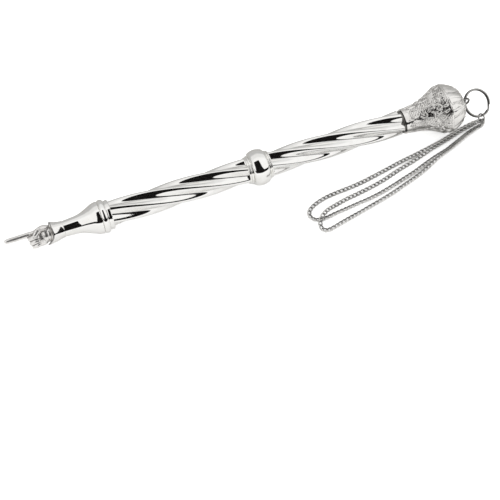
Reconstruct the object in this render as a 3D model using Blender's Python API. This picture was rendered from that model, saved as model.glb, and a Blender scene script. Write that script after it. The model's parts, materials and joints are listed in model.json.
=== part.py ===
"""Hand-tipped reading pointer in polished silver plate, with its split ring and doubled chain.

Lengths are millimetres, angles are degrees, and MM turns a length into Blender's metres.
The pointer's own axis is a, from the fingertip at 0 to the pommel; y and z lie across it.
Lying on a table it touches at the collar and the pommel, so the axis climbs towards the pommel.
World: +X towards the pommel, +Z up, origin under the middle of the pointer and its rings.
"""

import math

import bpy
from mathutils import Vector

MM = 0.001
GAP = 0.3                    # clearance between neighbouring solids

# Along the pointer
FINGER_END = 20.0            # inner end of the index finger, inside the fist
FIST_START = 12.0
FIST_END = 24.3
CUFF_END = 31.2
NECK_START = 31.5
NECK_END = 50.9
COLLAR_START = 51.2
COLLAR_END = 55.5
THIN_RING_END = 56.8
LOWER_SHAFT = (57.1, 132.1)
KNOP_LOWER = (132.4, 134.5)
KNOP_BARREL = (134.8, 143.6)
KNOP_UPPER = (143.9, 145.6)
UPPER_SHAFT = (145.9, 221.3)
JOINT_RING = (221.6, 222.6)
BELL_START = 222.9
BELL_END = 246.9
DOME_START = 247.2
DOME_END = 258.3

# Across the pointer
FINGER_RADIUS = 1.5
FINGER_OFFSET = 2.5          # the finger lies beside the axis
HAND_ROLL = 33.0             # the finger's side, up from the horizontal
COLLAR_RADIUS = 9.05
COLLAR_CREST = 0.8           # half the width of the collar's cylindrical crest
SHAFT_CROWN = 6.9            # over the strands of the twist
SHAFT_VALLEY = 5.0           # down in the hollows between them
SHAFT_BORE = 4.3
POMMEL_RADIUS = 13.56
THREAD_RADIUS = 1.5          # tie rod and hand stud
THREAD_BORE = THREAD_RADIUS + GAP
SHELL_WALL = 0.9

# Twist of the shafts
STRANDS = 5
TWIST_LEAD = 158.4           # length of one whole turn
LOWER_PHASE = 115.0 - 360.0 * 84.7 / TWIST_LEAD
UPPER_PHASE = 120.0 - 360.0 * 184.0 / TWIST_LEAD

# Lug, split ring and jump ring
LUG_AXIS_A = 260.2           # where the lug's hole axis crosses the pointer's axis
LUG_RADIUS = 2.45
LUG_WIRE = 0.55
LUG_LEG_END = 255.7
RING_RADIUS = 7.5
RING_WIRE = 0.42
COIL_OFFSET = 0.48           # each coil's distance from the ring's middle plane
RING_ROLL = 33.0             # how far the ring's threaded stretch leans from the horizontal
RING_DROOP = 10.0            # how far the ring's plane drops from the pointer's axis
RING_SLIP = 20.0             # how far the ring has slipped round through the lug
STEP_ANGLE = 34.0            # where the ring's two coils cross over
STEP_WIDTH = 26.0
JUMP_RADIUS = 2.1
JUMP_WIRE = 0.35
JUMP_REACH = 0.9             # the jump ring's centre, outside the split ring's own circle
JUMP_TURN = 15.0

# Chain
CHAIN_RADIUS = 1.05
CHAIN_POINTS = 40            # per loop
OUT_LOOP = (
    (126.8, -7.7, 3.0), (123.0, -7.4, 1.6), (118.4, -8.0, 1.05), (112.6, -9.7, 1.05),
    (105.4, -11.7, 1.05), (97.4, -13.3, 1.05), (88.4, -15.0, 1.05), (79.4, -16.5, 1.05),
    (70.4, -18.4, 1.05), (62.4, -20.1, 1.05), (54.4, -21.7, 1.05), (46.4, -22.8, 1.05),
    (38.4, -23.4, 1.05), (31.4, -24.3, 1.05), (25.4, -26.0, 1.05), (21.0, -28.3, 1.05),
    (18.9, -31.3, 1.05), (19.8, -34.6, 1.05), (23.0, -36.4, 1.05), (27.4, -36.4, 1.05),
    (33.4, -35.4, 1.05), (39.4, -34.7, 1.05), (46.4, -33.8, 1.05), (53.4, -33.0, 1.05),
    (60.4, -31.7, 1.05), (67.4, -29.9, 1.05), (75.4, -27.6, 1.05), (83.4, -25.2, 1.05),
    (90.4, -22.6, 1.05), (97.4, -20.2, 1.05), (104.4, -18.2, 1.05), (110.4, -16.0, 1.05),
    (116.4, -13.6, 1.05), (122.0, -11.4, 1.05), (126.6, -10.5, 1.9), (129.8, -10.3, 2.9),
)
IN_LOOP = (
    (126.4, -9.7, 5.8), (122.4, -9.6, 3.9), (117.4, -10.2, 3.0), (111.4, -11.9, 2.85),
    (104.4, -13.8, 2.85), (97.4, -15.4, 2.6), (90.4, -17.3, 1.9), (83.4, -19.1, 1.05),
    (77.4, -20.7, 1.05), (71.4, -22.5, 1.05), (64.4, -24.7, 1.05), (56.4, -26.6, 1.05),
    (48.4, -28.0, 1.05), (40.4, -29.3, 1.05), (33.9, -31.0, 1.5), (28.4, -33.3, 3.0),
    (24.3, -36.2, 3.6), (22.0, -39.3, 2.9), (21.8, -42.0, 1.5), (24.2, -43.9, 1.05),
    (28.0, -43.5, 1.05), (33.4, -42.1, 1.05), (39.4, -40.7, 1.05), (46.4, -39.1, 1.05),
    (53.4, -37.4, 1.05), (60.4, -35.7, 1.05), (68.4, -33.4, 1.05), (75.4, -31.1, 1.05),
    (82.4, -28.7, 1.05), (88.4, -26.4, 1.4), (94.4, -23.9, 2.3), (100.4, -21.5, 2.85),
    (107.4, -18.9, 2.85), (113.4, -16.5, 2.9), (119.4, -14.0, 3.1), (124.6, -12.6, 3.9),
    (128.4, -12.1, 5.0),
)

# The pointer's lie on the table
CONTACT_COLLAR_A = 0.5 * (COLLAR_START + COLLAR_END) - COLLAR_CREST
TILT = math.atan((POMMEL_RADIUS - COLLAR_RADIUS) / (BELL_END - CONTACT_COLLAR_A))
AXIS_HEIGHT = COLLAR_RADIUS * math.cos(TILT) - CONTACT_COLLAR_A * math.sin(TILT)
MIDDLE_X = 137.49            # half the length over the fingertip and the split ring

SILVER = ((0.83, 0.82, 0.79), 0.08)
DARK_SILVER = ((0.45, 0.44, 0.42), 0.3)
STEEL = ((0.55, 0.56, 0.58), 0.35)
BRASS = ((0.75, 0.58, 0.28), 0.3)


def clear_scene():
    for item in list(bpy.data.objects):
        bpy.data.objects.remove(item, do_unlink=True)


def own_material(name, finish):
    colour, roughness = finish
    material = bpy.data.materials.new(name + "_finish")
    material.use_nodes = True
    shader = material.node_tree.nodes["Principled BSDF"]
    shader.inputs["Base Color"].default_value = (*colour, 1.0)
    shader.inputs["Metallic"].default_value = 1.0
    shader.inputs["Roughness"].default_value = roughness
    return material


def place(name, data, finish, parent=None):
    piece = bpy.data.objects.new(name, data)
    bpy.context.scene.collection.objects.link(piece)
    piece.data.materials.append(own_material(name, finish))
    piece.parent = parent
    return piece


def add_empty(name, location, parent=None):
    empty = bpy.data.objects.new(name, None)
    bpy.context.scene.collection.objects.link(empty)
    empty.location = Vector(location) * MM
    empty.parent = parent
    return empty


def smooth_curve(points, count):
    """Evenly stepped points on a Catmull-Rom curve through the given points."""
    knots = [Vector(point) for point in points]
    knots = [2 * knots[0] - knots[1]] + knots + [2 * knots[-1] - knots[-2]]
    spans = len(knots) - 3
    result = []
    for step in range(count):
        place_on_curve = min(step * spans / (count - 1), spans - 1e-9)
        index = int(place_on_curve)
        t = place_on_curve - index
        p0, p1, p2, p3 = knots[index:index + 4]
        result.append(0.5 * (2 * p1 + (p2 - p0) * t + (2 * p0 - 5 * p1 + 4 * p2 - p3) * t ** 2
                             + (3 * p1 - p0 - 3 * p2 + p3) * t ** 3))
    return result


def inside_wall(curve, wall):
    """The same outline moved towards the axis by the wall, last point first."""
    result = []
    for index, point in enumerate(curve):
        before = curve[max(index - 1, 0)]
        after = curve[min(index + 1, len(curve) - 1)]
        along = (after - before).normalized()
        a = min(max(point.x + along.y * wall, curve[0].x), curve[-1].x)
        result.append(Vector((a, point.y - along.x * wall)))
    return result[::-1]


def ring_face_list(rings, closed):
    """Faces between neighbouring rings of vertex numbers; a ring of one vertex is a pole."""
    faces = []
    pairs = list(zip(rings, rings[1:]))
    if closed:
        pairs.append((rings[-1], rings[0]))
    for first, second in pairs:
        sides = max(len(first), len(second))
        for k in range(sides):
            nxt = (k + 1) % sides
            if len(first) == 1 and len(second) == 1:
                continue
            if len(first) == 1:
                faces.append((first[0], second[nxt], second[k]))
            elif len(second) == 1:
                faces.append((first[k], first[nxt], second[0]))
            else:
                faces.append((first[k], first[nxt], second[nxt], second[k]))
    return faces


def signed_volume(vertices, faces):
    total = 0.0
    for face in faces:
        for k in range(1, len(face) - 1):
            a, b, c = vertices[face[0]], vertices[face[k]], vertices[face[k + 1]]
            total += a.dot(b.cross(c))
    return total


def finished_mesh(name, vertices, faces, sharp_angle=40.0):
    """A smooth-shaded mesh with its faces pointing out."""
    if signed_volume(vertices, faces) < 0:
        faces = [tuple(reversed(face)) for face in faces]
    mesh = bpy.data.meshes.new(name)
    mesh.from_pydata([vertex * MM for vertex in vertices], [], faces)
    mesh.shade_smooth()
    mesh.set_sharp_from_angle(angle=math.radians(sharp_angle))
    return mesh


def turned(name, outline, finish, parent, sides=28, sharp_angle=40.0):
    """Turn a closed outline of (a, radius) about the axis. A radius may be a rule of the angle."""
    vertices = []
    rings = []
    for a, radius in outline:
        if not callable(radius) and radius == 0:
            rings.append([len(vertices)])
            vertices.append(Vector((a, 0, 0)))
            continue
        ring = []
        for k in range(sides):
            angle = 2 * math.pi * k / sides
            r = radius(angle) if callable(radius) else radius
            ring.append(len(vertices))
            vertices.append(Vector((a, r * math.cos(angle), r * math.sin(angle))))
        rings.append(ring)
    faces = ring_face_list(rings, closed=True)
    return place(name, finished_mesh(name, vertices, faces, sharp_angle), finish, parent)


def swept(name, path, radius, finish, parent, sides=8, closed=False):
    """A round wire along a path, its section carried along without twisting."""
    count = len(path)
    vertices = []
    rings = []
    side = None
    for index, point in enumerate(path):
        before = path[(index - 1) % count] if closed else path[max(index - 1, 0)]
        after = path[(index + 1) % count] if closed else path[min(index + 1, count - 1)]
        along = (after - before).normalized()
        if side is None:
            side = along.orthogonal().normalized()
        side = (side - along * side.dot(along)).normalized()
        other = along.cross(side)
        ring = []
        for k in range(sides):
            angle = 2 * math.pi * k / sides
            ring.append(len(vertices))
            vertices.append(point + radius * (side * math.cos(angle) + other * math.sin(angle)))
        rings.append(ring)
    faces = ring_face_list(rings, closed=False)
    if closed:
        faces += ring_face_list([rings[-1], closest_start(vertices, rings)], closed=False)
    else:
        faces += [tuple(reversed(rings[0])), tuple(rings[-1])]
    return place(name, finished_mesh(name, vertices, faces), finish, parent)


def closest_start(vertices, rings):
    """The first ring, renumbered to meet the last ring vertex for vertex."""
    first = rings[0]
    target = vertices[rings[-1][0]]
    shift = min(range(len(first)), key=lambda k: (vertices[first[k]] - target).length)
    return first[shift:] + first[:shift]


def disc(name, start, end, radius, bore, finish, parent, ease=0.3, sides=24):
    """A flat disc or ring with eased outer edges."""
    outline = [(start, bore), (start, radius - ease), (start + ease, radius),
               (end - ease, radius), (end, radius - ease), (end, bore)]
    return turned(name, outline, finish, parent, sides)


def drill(piece, name, start, end, y, z, radius):
    """Cut a round hole along the pointer's axis direction through a piece."""
    outline = [(start, 0), (start, radius), (end, radius), (end, 0)]
    cutter = turned(name, outline, STEEL, piece.parent, sides=16)
    cutter.location = Vector((0, y, z)) * MM
    cutter.rotation_euler = (math.radians(7.0), 0, 0)    # keeps its corners off the piece's edges
    cutter.hide_render = True
    cutter.display_type = "WIRE"
    cut = piece.modifiers.new(name, "BOOLEAN")
    cut.operation = "DIFFERENCE"
    cut.solver = "EXACT"
    cut.object = cutter


def make_hand(pointer):
    """Index finger, closed fist and wrist cuff, held on by a threaded stud."""
    roll = math.radians(HAND_ROLL)
    finger_y = FINGER_OFFSET * math.cos(roll)
    finger_z = FINGER_OFFSET * math.sin(roll)
    tip = FINGER_RADIUS
    finger = turned("index_finger", [(0, 0), (0.12, 0.45 * tip), (0.6, 0.83 * tip), (1.5, tip),
                                     (FINGER_END, tip), (FINGER_END, 0)], SILVER, pointer, sides=16)
    finger.location = Vector((0, finger_y, finger_z)) * MM

    knuckles = smooth_curve([(FIST_START + 0.2, 2.6), (13.4, 4.7), (15.6, 6.0), (18.4, 6.3),
                             (21.4, 5.9), (FIST_END, 4.9)], 8)
    stud_start = 20.9
    fist_outline = [(FIST_START, 0)] + [tuple(p) for p in knuckles]
    fist_outline += [(FIST_END, THREAD_BORE), (stud_start, THREAD_BORE), (stud_start, 0)]
    fist = turned("fist", fist_outline, SILVER, pointer)
    drill(fist, "finger_socket", FIST_START - 2, FINGER_END + GAP, finger_y, finger_z,
          FINGER_RADIUS + GAP)

    cuff_start = FIST_END + GAP
    cuff = [(cuff_start, THREAD_BORE), (cuff_start, 5.4), (25.2, 5.75), (26.2, 5.45), (28.6, 4.75),
            (CUFF_END, 4.4), (CUFF_END, THREAD_BORE)]
    turned("wrist_cuff", cuff, SILVER, pointer)

    turned("hand_stud", [(stud_start + GAP, 0), (stud_start + GAP, THREAD_RADIUS),
                         (33.6, THREAD_RADIUS), (33.6, 0)], STEEL, pointer, sides=16)


def make_neck(pointer):
    """Trumpet neck, the wide collar it butts against, and the thin ring before the shaft."""
    flare = smooth_curve([(NECK_START, 4.3), (35.0, 4.5), (38.5, 4.8), (41.5, 5.5), (45.0, 6.9),
                          (48.0, 8.2), (NECK_END, 8.75)], 10)
    hollow = [point for point in inside_wall(flare, 1.1) if point.x > 43.0]
    outline = [tuple(p) for p in flare] + [tuple(p) for p in hollow]
    outline += [(42.0, THREAD_BORE), (NECK_START, THREAD_BORE)]
    turned("trumpet_neck", outline, SILVER, pointer)

    middle = 0.5 * (COLLAR_START + COLLAR_END)
    collar = [(COLLAR_START, 4.0), (COLLAR_START, 8.3), (COLLAR_START + 0.4, 8.8),
              (middle - COLLAR_CREST, COLLAR_RADIUS), (middle + COLLAR_CREST, COLLAR_RADIUS),
              (COLLAR_END - 0.4, 8.8), (COLLAR_END, 8.3), (COLLAR_END, 4.0)]
    turned("front_collar", collar, SILVER, pointer)
    disc("thin_ring", COLLAR_END + GAP, THIN_RING_END, 7.6, 4.0, SILVER, pointer, ease=0.15)


def strand_radius(twist):
    """Radius of the shaft at an angle: rounded strands flowing into hollows; twist is a hollow's angle."""
    middle = 0.5 * (SHAFT_CROWN + SHAFT_VALLEY)
    swing = 0.5 * (SHAFT_CROWN - SHAFT_VALLEY)

    def radius(angle):
        return middle - swing * math.cos(STRANDS * (angle - math.radians(twist)))
    return radius


def twisted_shaft(name, start, end, phase, pointer):
    """A tube whose outside is a twist of strands; phase sets where its hollows begin."""
    steps = 18
    outline = [(start, SHAFT_BORE)]
    for step in range(steps + 1):
        a = start + (end - start) * step / steps
        outline.append((a, strand_radius(phase + 360.0 * a / TWIST_LEAD)))
    outline.append((end, SHAFT_BORE))
    turned(name, outline, SILVER, pointer, sides=8 * STRANDS, sharp_angle=60.0)


def make_shafts(pointer):
    """Both twisted shafts, with a plug in each end that centres them on the tie rod."""
    for part, (start, end), phase in (("lower", LOWER_SHAFT, LOWER_PHASE),
                                      ("upper", UPPER_SHAFT, UPPER_PHASE)):
        twisted_shaft(part + "_shaft", start, end, phase, pointer)
        plug = SHAFT_BORE - GAP
        disc(part + "_front_plug", start, start + 4.0, plug, THREAD_BORE, BRASS, pointer, sides=16)
        disc(part + "_rear_plug", end - 4.0, end, plug, THREAD_BORE, BRASS, pointer, sides=16)


def make_knop(pointer):
    """The knop between the shafts: a bulged barrel clamped between two flanges."""
    disc("knop_lower_flange", *KNOP_LOWER, 7.45, THREAD_BORE, SILVER, pointer)
    disc("knop_upper_flange", *KNOP_UPPER, 7.45, THREAD_BORE, SILVER, pointer)
    start, end = KNOP_BARREL
    middle = 0.5 * (start + end)
    bulge = smooth_curve([(start, 8.1), (start + 0.9, 9.1), (middle, 9.85), (end - 0.9, 9.1),
                          (end, 8.1)], 9)
    outline = [tuple(p) for p in bulge]
    outline += [(end, 7.0), (middle, 8.6), (start, 7.0)]
    turned("knop_barrel", outline, SILVER, pointer)


def make_pommel(pointer):
    """Bell and dome shells soldered rim to rim, and the dark ring that seats the bell."""
    disc("joint_ring", *JOINT_RING, 6.2, THREAD_BORE, DARK_SILVER, pointer, ease=0.15)
    bell = smooth_curve([(BELL_START, 7.0), (226.0, 7.15), (230.0, 7.5), (233.5, 8.2), (236.5, 9.1),
                         (240.8, 11.1), (244.1, 12.85), (BELL_END, POMMEL_RADIUS)], 11)
    floor_end = BELL_START + 1.7
    hollow = [point for point in inside_wall(bell, SHELL_WALL) if point.x > floor_end + 1.0]
    outline = [tuple(p) for p in bell] + [tuple(p) for p in hollow]
    outline += [(floor_end, 5.7), (floor_end, THREAD_BORE), (BELL_START, THREAD_BORE)]
    turned("pommel_bell", outline, SILVER, pointer)

    dome = smooth_curve([(DOME_START, POMMEL_RADIUS), (250.5, 12.8), (253.3, 11.4), (255.6, 9.8),
                         (257.2, 7.7), (DOME_END, 5.4)], 9)
    ceiling = DOME_END - 1.0
    hollow = [point for point in inside_wall(dome, SHELL_WALL) if point.x < ceiling - 0.6]
    outline = [tuple(p) for p in dome]
    outline += [(DOME_END, 0), (ceiling, 0), (ceiling, 4.6)] + [tuple(p) for p in hollow]
    pommel_dome = turned("pommel_dome", outline, SILVER, pointer)
    for side in (-1, 1):
        drill(pommel_dome, "lug_hole_%d" % (side + 1), ceiling - 2, DOME_END + 2, 0,
              side * LUG_RADIUS, LUG_WIRE + GAP)


def hex_radius(across_flats):
    """Radius of a hexagon at an angle."""
    def radius(angle):
        from_flat = (math.degrees(angle) + 30.0) % 60.0 - 30.0
        return 0.5 * across_flats / math.cos(math.radians(from_flat))
    return radius


def make_tie_rod(pointer):
    """The threaded rod that pulls the stack together, with its washer and nut in the bell."""
    rod = THREAD_RADIUS
    turned("tie_rod", [(34.2, 0), (34.2, rod), (230.2, rod), (230.2, 0)], STEEL, pointer, sides=16)
    seat = BELL_START + 1.7 + GAP
    disc("tie_rod_washer", seat, seat + 0.7, 3.6, THREAD_BORE, BRASS, pointer, ease=0.1, sides=16)
    nut_start = seat + 0.7 + GAP
    nut_end = nut_start + 2.4
    outline = [(nut_start, THREAD_BORE), (nut_start, hex_radius(5.5)), (nut_end, hex_radius(5.5)),
               (nut_end, THREAD_BORE)]
    turned("tie_rod_nut", outline, BRASS, pointer, sides=24, sharp_angle=20.0)


def make_lug(pointer):
    """A staple of wire whose legs pass into the dome; its hole axis is level, across the pointer."""
    path = [Vector((LUG_LEG_END, 0, -LUG_RADIUS)), Vector((DOME_END, 0, -LUG_RADIUS))]
    for step in range(11):
        angle = math.radians(-90 + 18 * step)
        path.append(Vector((LUG_AXIS_A + LUG_RADIUS * math.cos(angle), 0,
                            LUG_RADIUS * math.sin(angle))))
    path += [Vector((DOME_END, 0, LUG_RADIUS)), Vector((LUG_LEG_END, 0, LUG_RADIUS))]
    swept("chain_lug", path, LUG_WIRE, SILVER, pointer)


def ring_directions():
    """The split ring's directions: along its threaded stretch, towards its middle, and its normal."""
    roll = math.radians(RING_ROLL)
    droop = math.radians(RING_DROOP)
    threaded = Vector((0, -math.cos(roll), -math.sin(roll)))
    downward = Vector((1, 0, 0)).cross(threaded)
    outward = math.cos(droop) * Vector((1, 0, 0)) + math.sin(droop) * downward
    return threaded, outward, threaded.cross(outward)


def make_rings(pointer):
    """Split ring, hinged on the lug's hole axis, and the jump ring that it carries."""
    threaded, outward, normal = ring_directions()
    hinge = add_empty("ring_hinge", (LUG_AXIS_A, 0, 0), pointer)
    slip = math.radians(RING_SLIP)
    centre = RING_RADIUS * (math.cos(slip) * outward + math.sin(slip) * threaded)

    path = []
    steps = 60
    sweep = 720.0 - STEP_WIDTH
    for step in range(steps + 1):
        turn = sweep * step / steps
        crossing = (turn - 360.0 + STEP_WIDTH) / STEP_WIDTH
        crossing = min(max(crossing, 0.0), 1.0)
        lift = COIL_OFFSET * (2 * crossing * crossing * (3 - 2 * crossing) - 1)
        angle = math.radians(STEP_ANGLE + 0.5 * STEP_WIDTH + turn)
        path.append(centre + normal * lift
                    + RING_RADIUS * (math.cos(angle) * outward + math.sin(angle) * threaded))
    swept("split_ring", path, RING_WIRE, SILVER, hinge, sides=6)

    pivot = centre + (RING_RADIUS + JUMP_REACH) * threaded
    jump_hinge = add_empty("jump_ring_hinge", pivot, hinge)
    turn = math.radians(JUMP_TURN)
    across = math.cos(turn) * normal + math.sin(turn) * outward
    circle = []
    for step in range(20):
        angle = 2 * math.pi * step / 20
        circle.append(JUMP_RADIUS * (math.cos(angle) * threaded + math.sin(angle) * across))
    swept("jump_ring", circle, JUMP_WIRE, SILVER, jump_hinge, sides=6, closed=True)


def make_chain(name, route):
    """One loop of the chain as a plain tube of the chain's width."""
    curve = bpy.data.curves.new(name, "CURVE")
    curve.dimensions = "3D"
    curve.bevel_depth = CHAIN_RADIUS * MM
    curve.bevel_resolution = 2
    curve.use_fill_caps = True
    points = smooth_curve(route, CHAIN_POINTS)
    spline = curve.splines.new("POLY")
    spline.points.add(len(points) - 1)
    for target, point in zip(spline.points, points):
        point.z = max(point.z, CHAIN_RADIUS)
        target.co = (*(point * MM), 1.0)
    place(name, curve, SILVER)


def main():
    clear_scene()
    pointer = add_empty("pointer_axis", (-MIDDLE_X, 0, AXIS_HEIGHT))
    pointer.rotation_euler = (0, -TILT, 0)
    make_hand(pointer)
    make_neck(pointer)
    make_shafts(pointer)
    make_knop(pointer)
    make_pommel(pointer)
    make_tie_rod(pointer)
    make_lug(pointer)
    make_rings(pointer)
    make_chain("chain_out_loop", OUT_LOOP)
    make_chain("chain_in_loop", IN_LOOP)


main()
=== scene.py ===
"""Looks of the hand-tipped reading pointer: polished silver pieces, split ring and curb chain.

Lengths are millimetres in the pointer's own frame unless a name says otherwise: a runs along the
axis from the fingertip, y and z lie across it. Angles are degrees, from +Y towards +Z.
"""

import json
import math

import bpy
import numpy as np
from mathutils import Matrix, Vector


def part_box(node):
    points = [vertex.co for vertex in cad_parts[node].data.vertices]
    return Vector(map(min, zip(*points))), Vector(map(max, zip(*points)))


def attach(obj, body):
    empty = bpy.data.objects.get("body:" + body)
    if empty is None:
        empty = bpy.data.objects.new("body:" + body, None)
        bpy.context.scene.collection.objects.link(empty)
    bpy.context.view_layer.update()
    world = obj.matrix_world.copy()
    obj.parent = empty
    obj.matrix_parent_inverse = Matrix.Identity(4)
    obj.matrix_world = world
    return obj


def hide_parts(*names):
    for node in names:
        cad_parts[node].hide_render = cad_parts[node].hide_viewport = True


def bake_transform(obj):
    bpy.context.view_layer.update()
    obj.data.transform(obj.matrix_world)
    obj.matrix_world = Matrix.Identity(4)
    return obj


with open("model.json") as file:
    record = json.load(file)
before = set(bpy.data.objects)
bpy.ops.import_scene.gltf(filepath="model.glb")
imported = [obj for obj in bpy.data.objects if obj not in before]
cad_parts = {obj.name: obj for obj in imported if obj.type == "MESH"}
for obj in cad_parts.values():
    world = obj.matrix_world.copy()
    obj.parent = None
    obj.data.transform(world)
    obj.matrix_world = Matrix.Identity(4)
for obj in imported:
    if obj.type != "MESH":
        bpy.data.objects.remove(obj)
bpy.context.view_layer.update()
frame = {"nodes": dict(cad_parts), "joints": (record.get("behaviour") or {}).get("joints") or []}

MM = 0.001

# Along the pointer
COLLAR_MIDDLE = 53.35
LUG_AXIS_A = 260.2
CUFF_START = 24.6
CUFF_END = 31.3
LOWER_SHAFT = (57.0, 132.3)
UPPER_SHAFT = (145.7, 221.5)
DOME_END = 258.3

# Across the pointer
SHAFT_CROWN = 6.9
SHAFT_VALLEY = 4.65
SHAFT_BORE = 4.3
TURNED_BORE = 3.0            # hole down the middle of the turned pieces
HAND_ROLL = 33.0
PALM_FRONT = 123.0           # angle of the side that the palm's front looks to
FINGER_OFFSET = 2.5

# Twist of the shafts
STRANDS = 5
TWIST_LEAD = 158.4
LOWER_PHASE = 119.5 - 360.0 * 84.7 / TWIST_LEAD
UPPER_PHASE = 114.5 - 360.0 * 184.0 / TWIST_LEAD

# Lug and rings
LUG_RADIUS = 2.45
LUG_WIRE = 0.55
RING_RADIUS = 7.5
RING_WIRE = 0.55
COIL_OFFSET = 0.56           # each coil's distance from the ring's middle plane
RING_ROLL = 33.0             # of the ring's plane about the pointer's axis
RING_DROOP = 10.0            # of the ring below the axis
RING_SLIP = 20.0             # how far the ring has slid round through the lug
STEP_ANGLE = 34.0            # where the wire crosses from one coil to the other
STEP_WIDTH = 26.0
JUMP_RADIUS = 2.1
JUMP_WIRE = 0.35
JUMP_TURN = 15.0

# Chain: the routes are in the row frame
CHAIN_WIDTH = 2.1
CHAIN_SAMPLES = 700
LINK_WIRE = 0.39
LINK_PITCH = 2.35
LINK_HALF_WIDTH = 0.92
LINK_TWIST = 26.0
LINK_SQUARENESS = 2.6
LINK_LEAN = -10.0
LINK_SWAY = 22.0
HOOK_REACH = 1.75            # from the jump ring's middle to where a loop ends
CHAIN_LOWERED = 0.2          # the links are thinner than the tubes that stand in for them
OUT_LOOP = (
    (126.8, -7.7, 3.0), (123.0, -7.4, 1.6), (118.4, -8.0, 1.05), (112.6, -9.7, 1.05),
    (105.4, -11.7, 1.05), (97.4, -13.3, 1.05), (88.4, -15.0, 1.05), (79.4, -16.5, 1.05),
    (70.4, -18.4, 1.05), (62.4, -20.1, 1.05), (54.4, -21.7, 1.05), (46.4, -22.8, 1.05),
    (38.4, -23.4, 1.05), (31.4, -24.3, 1.05), (25.4, -26.0, 1.05), (21.0, -28.3, 1.05),
    (18.9, -31.3, 1.05), (19.8, -34.6, 1.05), (23.0, -36.4, 1.05), (27.4, -36.4, 1.05),
    (33.4, -35.4, 1.05), (39.4, -34.7, 1.05), (46.4, -33.8, 1.05), (53.4, -33.0, 1.05),
    (60.4, -31.7, 1.05), (67.4, -29.9, 1.05), (75.4, -27.6, 1.05), (83.4, -25.2, 1.05),
    (90.4, -22.6, 1.05), (97.4, -20.2, 1.05), (104.4, -18.2, 1.05), (110.4, -16.0, 1.05),
    (116.4, -13.6, 1.05), (122.0, -11.4, 1.05), (126.6, -10.5, 1.9), (129.8, -10.3, 2.9),
)
IN_LOOP = (
    (126.4, -9.7, 5.8), (122.4, -9.6, 3.9), (117.4, -10.2, 3.0), (111.4, -11.9, 2.85),
    (104.4, -13.8, 2.85), (97.4, -15.4, 2.6), (90.4, -17.3, 1.9), (83.4, -19.1, 1.05),
    (77.4, -20.7, 1.05), (71.4, -22.5, 1.05), (64.4, -24.7, 1.05), (56.4, -26.6, 1.05),
    (48.4, -28.0, 1.05), (40.4, -29.3, 1.05), (33.9, -31.0, 1.5), (28.4, -33.3, 3.0),
    (24.3, -36.2, 3.6), (22.0, -39.3, 2.9), (21.8, -42.0, 1.5), (24.2, -43.9, 1.05),
    (28.0, -43.5, 1.05), (33.4, -42.1, 1.05), (39.4, -40.7, 1.05), (46.4, -39.1, 1.05),
    (53.4, -37.4, 1.05), (60.4, -35.7, 1.05), (68.4, -33.4, 1.05), (75.4, -31.1, 1.05),
    (82.4, -28.7, 1.05), (88.4, -26.4, 1.4), (94.4, -23.9, 2.3), (100.4, -21.5, 2.85),
    (107.4, -18.9, 2.85), (113.4, -16.5, 2.9), (119.4, -14.0, 3.1), (124.6, -12.6, 3.9),
    (128.4, -12.1, 5.0),
)

# Camera, in the row frame
CAMERA_AZIMUTH = -20.34
CAMERA_ELEVATION = 58.0
CAMERA_DISTANCE = 678.9
CAMERA_TARGET = (-18.15, -40.8, 0.0)
CAMERA_LENS = 93.6

# Dark opening of the light tent: a strip of an arch over the pointer
OPENING_REACH = 0.42         # metres from the pointer
OPENING_LOW = 21.0           # height of its lower edge, in degrees round the pointer's axis
OPENING_ROWS = 14
OPENING_TOPS = (             # metres along +X, height of its upper edge
    (-0.3, 34.0), (-0.26, 60.0), (-0.22, 98.0), (0.0, 98.0), (0.04, 80.0), (0.1, 54.0),
    (0.2, 36.0), (0.4, 28.0),
)


def joint(name):
    return next(entry for entry in frame["joints"] if entry["name"] == name)


def middle(node):
    low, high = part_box(node)
    return (Vector(low) + Vector(high)) / 2


def pointer_matrix():
    """Pointer frame in millimetres to the row frame in metres, from the collar and the lug's hinge."""
    hinge = Vector(joint("ring_swing")["pos_m"])
    collar = middle("front_collar")
    along = (hinge - collar).normalized()
    side = Vector((0, 1, 0))
    axes = Matrix((along, side, along.cross(side))).transposed().to_4x4()
    origin = collar - along * COLLAR_MIDDLE * MM
    return Matrix.Translation(origin) @ axes @ Matrix.Scale(MM, 4)


POINTER = pointer_matrix()
ROW = Matrix.Scale(MM, 4)


def direction(azimuth, elevation):
    a, e = math.radians(azimuth), math.radians(elevation)
    return Vector((math.sin(a) * math.cos(e), -math.cos(a) * math.cos(e), math.sin(e)))


def make_camera():
    data = bpy.data.cameras.new("camera")
    data.sensor_width = 36.0
    data.lens = CAMERA_LENS
    data.clip_start, data.clip_end = 0.01, 20.0
    camera = bpy.data.objects.new("camera", data)
    bpy.context.scene.collection.objects.link(camera)
    back = direction(CAMERA_AZIMUTH, CAMERA_ELEVATION)
    camera.location = (Vector(CAMERA_TARGET) + back * CAMERA_DISTANCE) * MM
    camera.rotation_euler = (-back).to_track_quat("-Z", "Y").to_euler()
    bpy.context.scene.camera = camera


# Node helpers

def number(tree, operation, first, second=None, third=None):
    node = tree.nodes.new("ShaderNodeMath")
    node.operation = operation
    for socket, value in zip(node.inputs, (first, second, third)):
        if value is None:
            continue
        if isinstance(value, (int, float)):
            socket.default_value = value
        else:
            tree.links.new(value, socket)
    return node.outputs[0]


def ramp(tree, value, low, high, start=0.0, end=1.0):
    """Smooth step of a value from start to end between low and high."""
    node = tree.nodes.new("ShaderNodeMapRange")
    node.interpolation_type = "SMOOTHSTEP"
    tree.links.new(value, node.inputs["Value"])
    for socket, setting in (("From Min", low), ("From Max", high), ("To Min", start),
                            ("To Max", end)):
        node.inputs[socket].default_value = setting
    return node.outputs[0]


def band(tree, value, low, high, soft):
    rise = ramp(tree, value, low - soft, low + soft)
    fall = ramp(tree, value, high - soft, high + soft, 1.0, 0.0)
    return number(tree, "MULTIPLY", rise, fall)


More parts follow.
